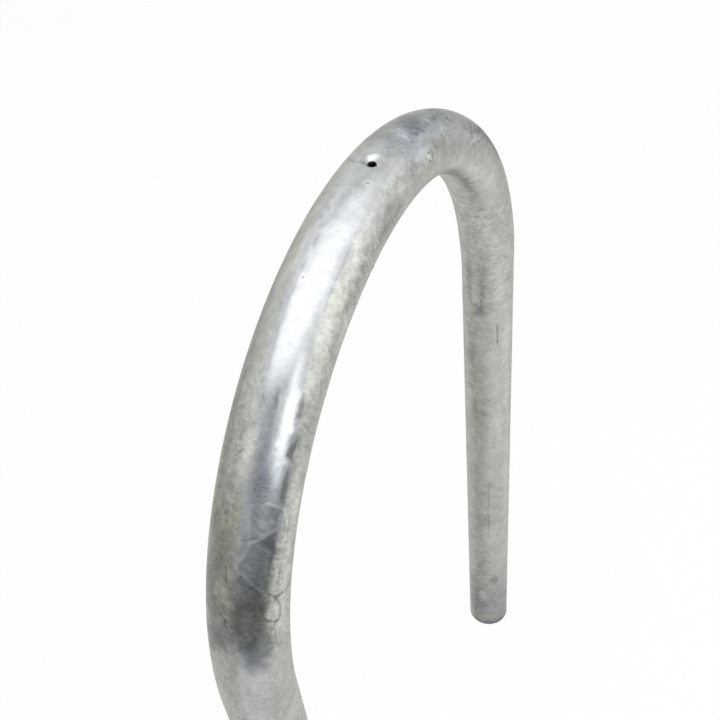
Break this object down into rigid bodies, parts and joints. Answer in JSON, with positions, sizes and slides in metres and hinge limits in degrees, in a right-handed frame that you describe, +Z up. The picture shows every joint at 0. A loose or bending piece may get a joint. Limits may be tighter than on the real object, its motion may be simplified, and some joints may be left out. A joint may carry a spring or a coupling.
{
  "type": "hoop bike rack",
  "caption": "Plain galvanised steel hoop set in the ground, for leaning a bicycle against and locking its frame and wheel to.",
  "frame": {"origin": "midway between the two legs, level with their cut feet", "axes": "+Z up towards the crown, +X from one leg to the other, Y square to the hoop's plane"},
  "size_m": [0.5, 0.05, 0.83],
  "materials": {
    "galvanised_steel": "hot-dip galvanised zinc: satin grey with cloudy patches, soft runs and small pits"
  },
  "bodies": {
    "root": {"hoop_tube": "galvanised_steel"}
  },
  "joints": []
}
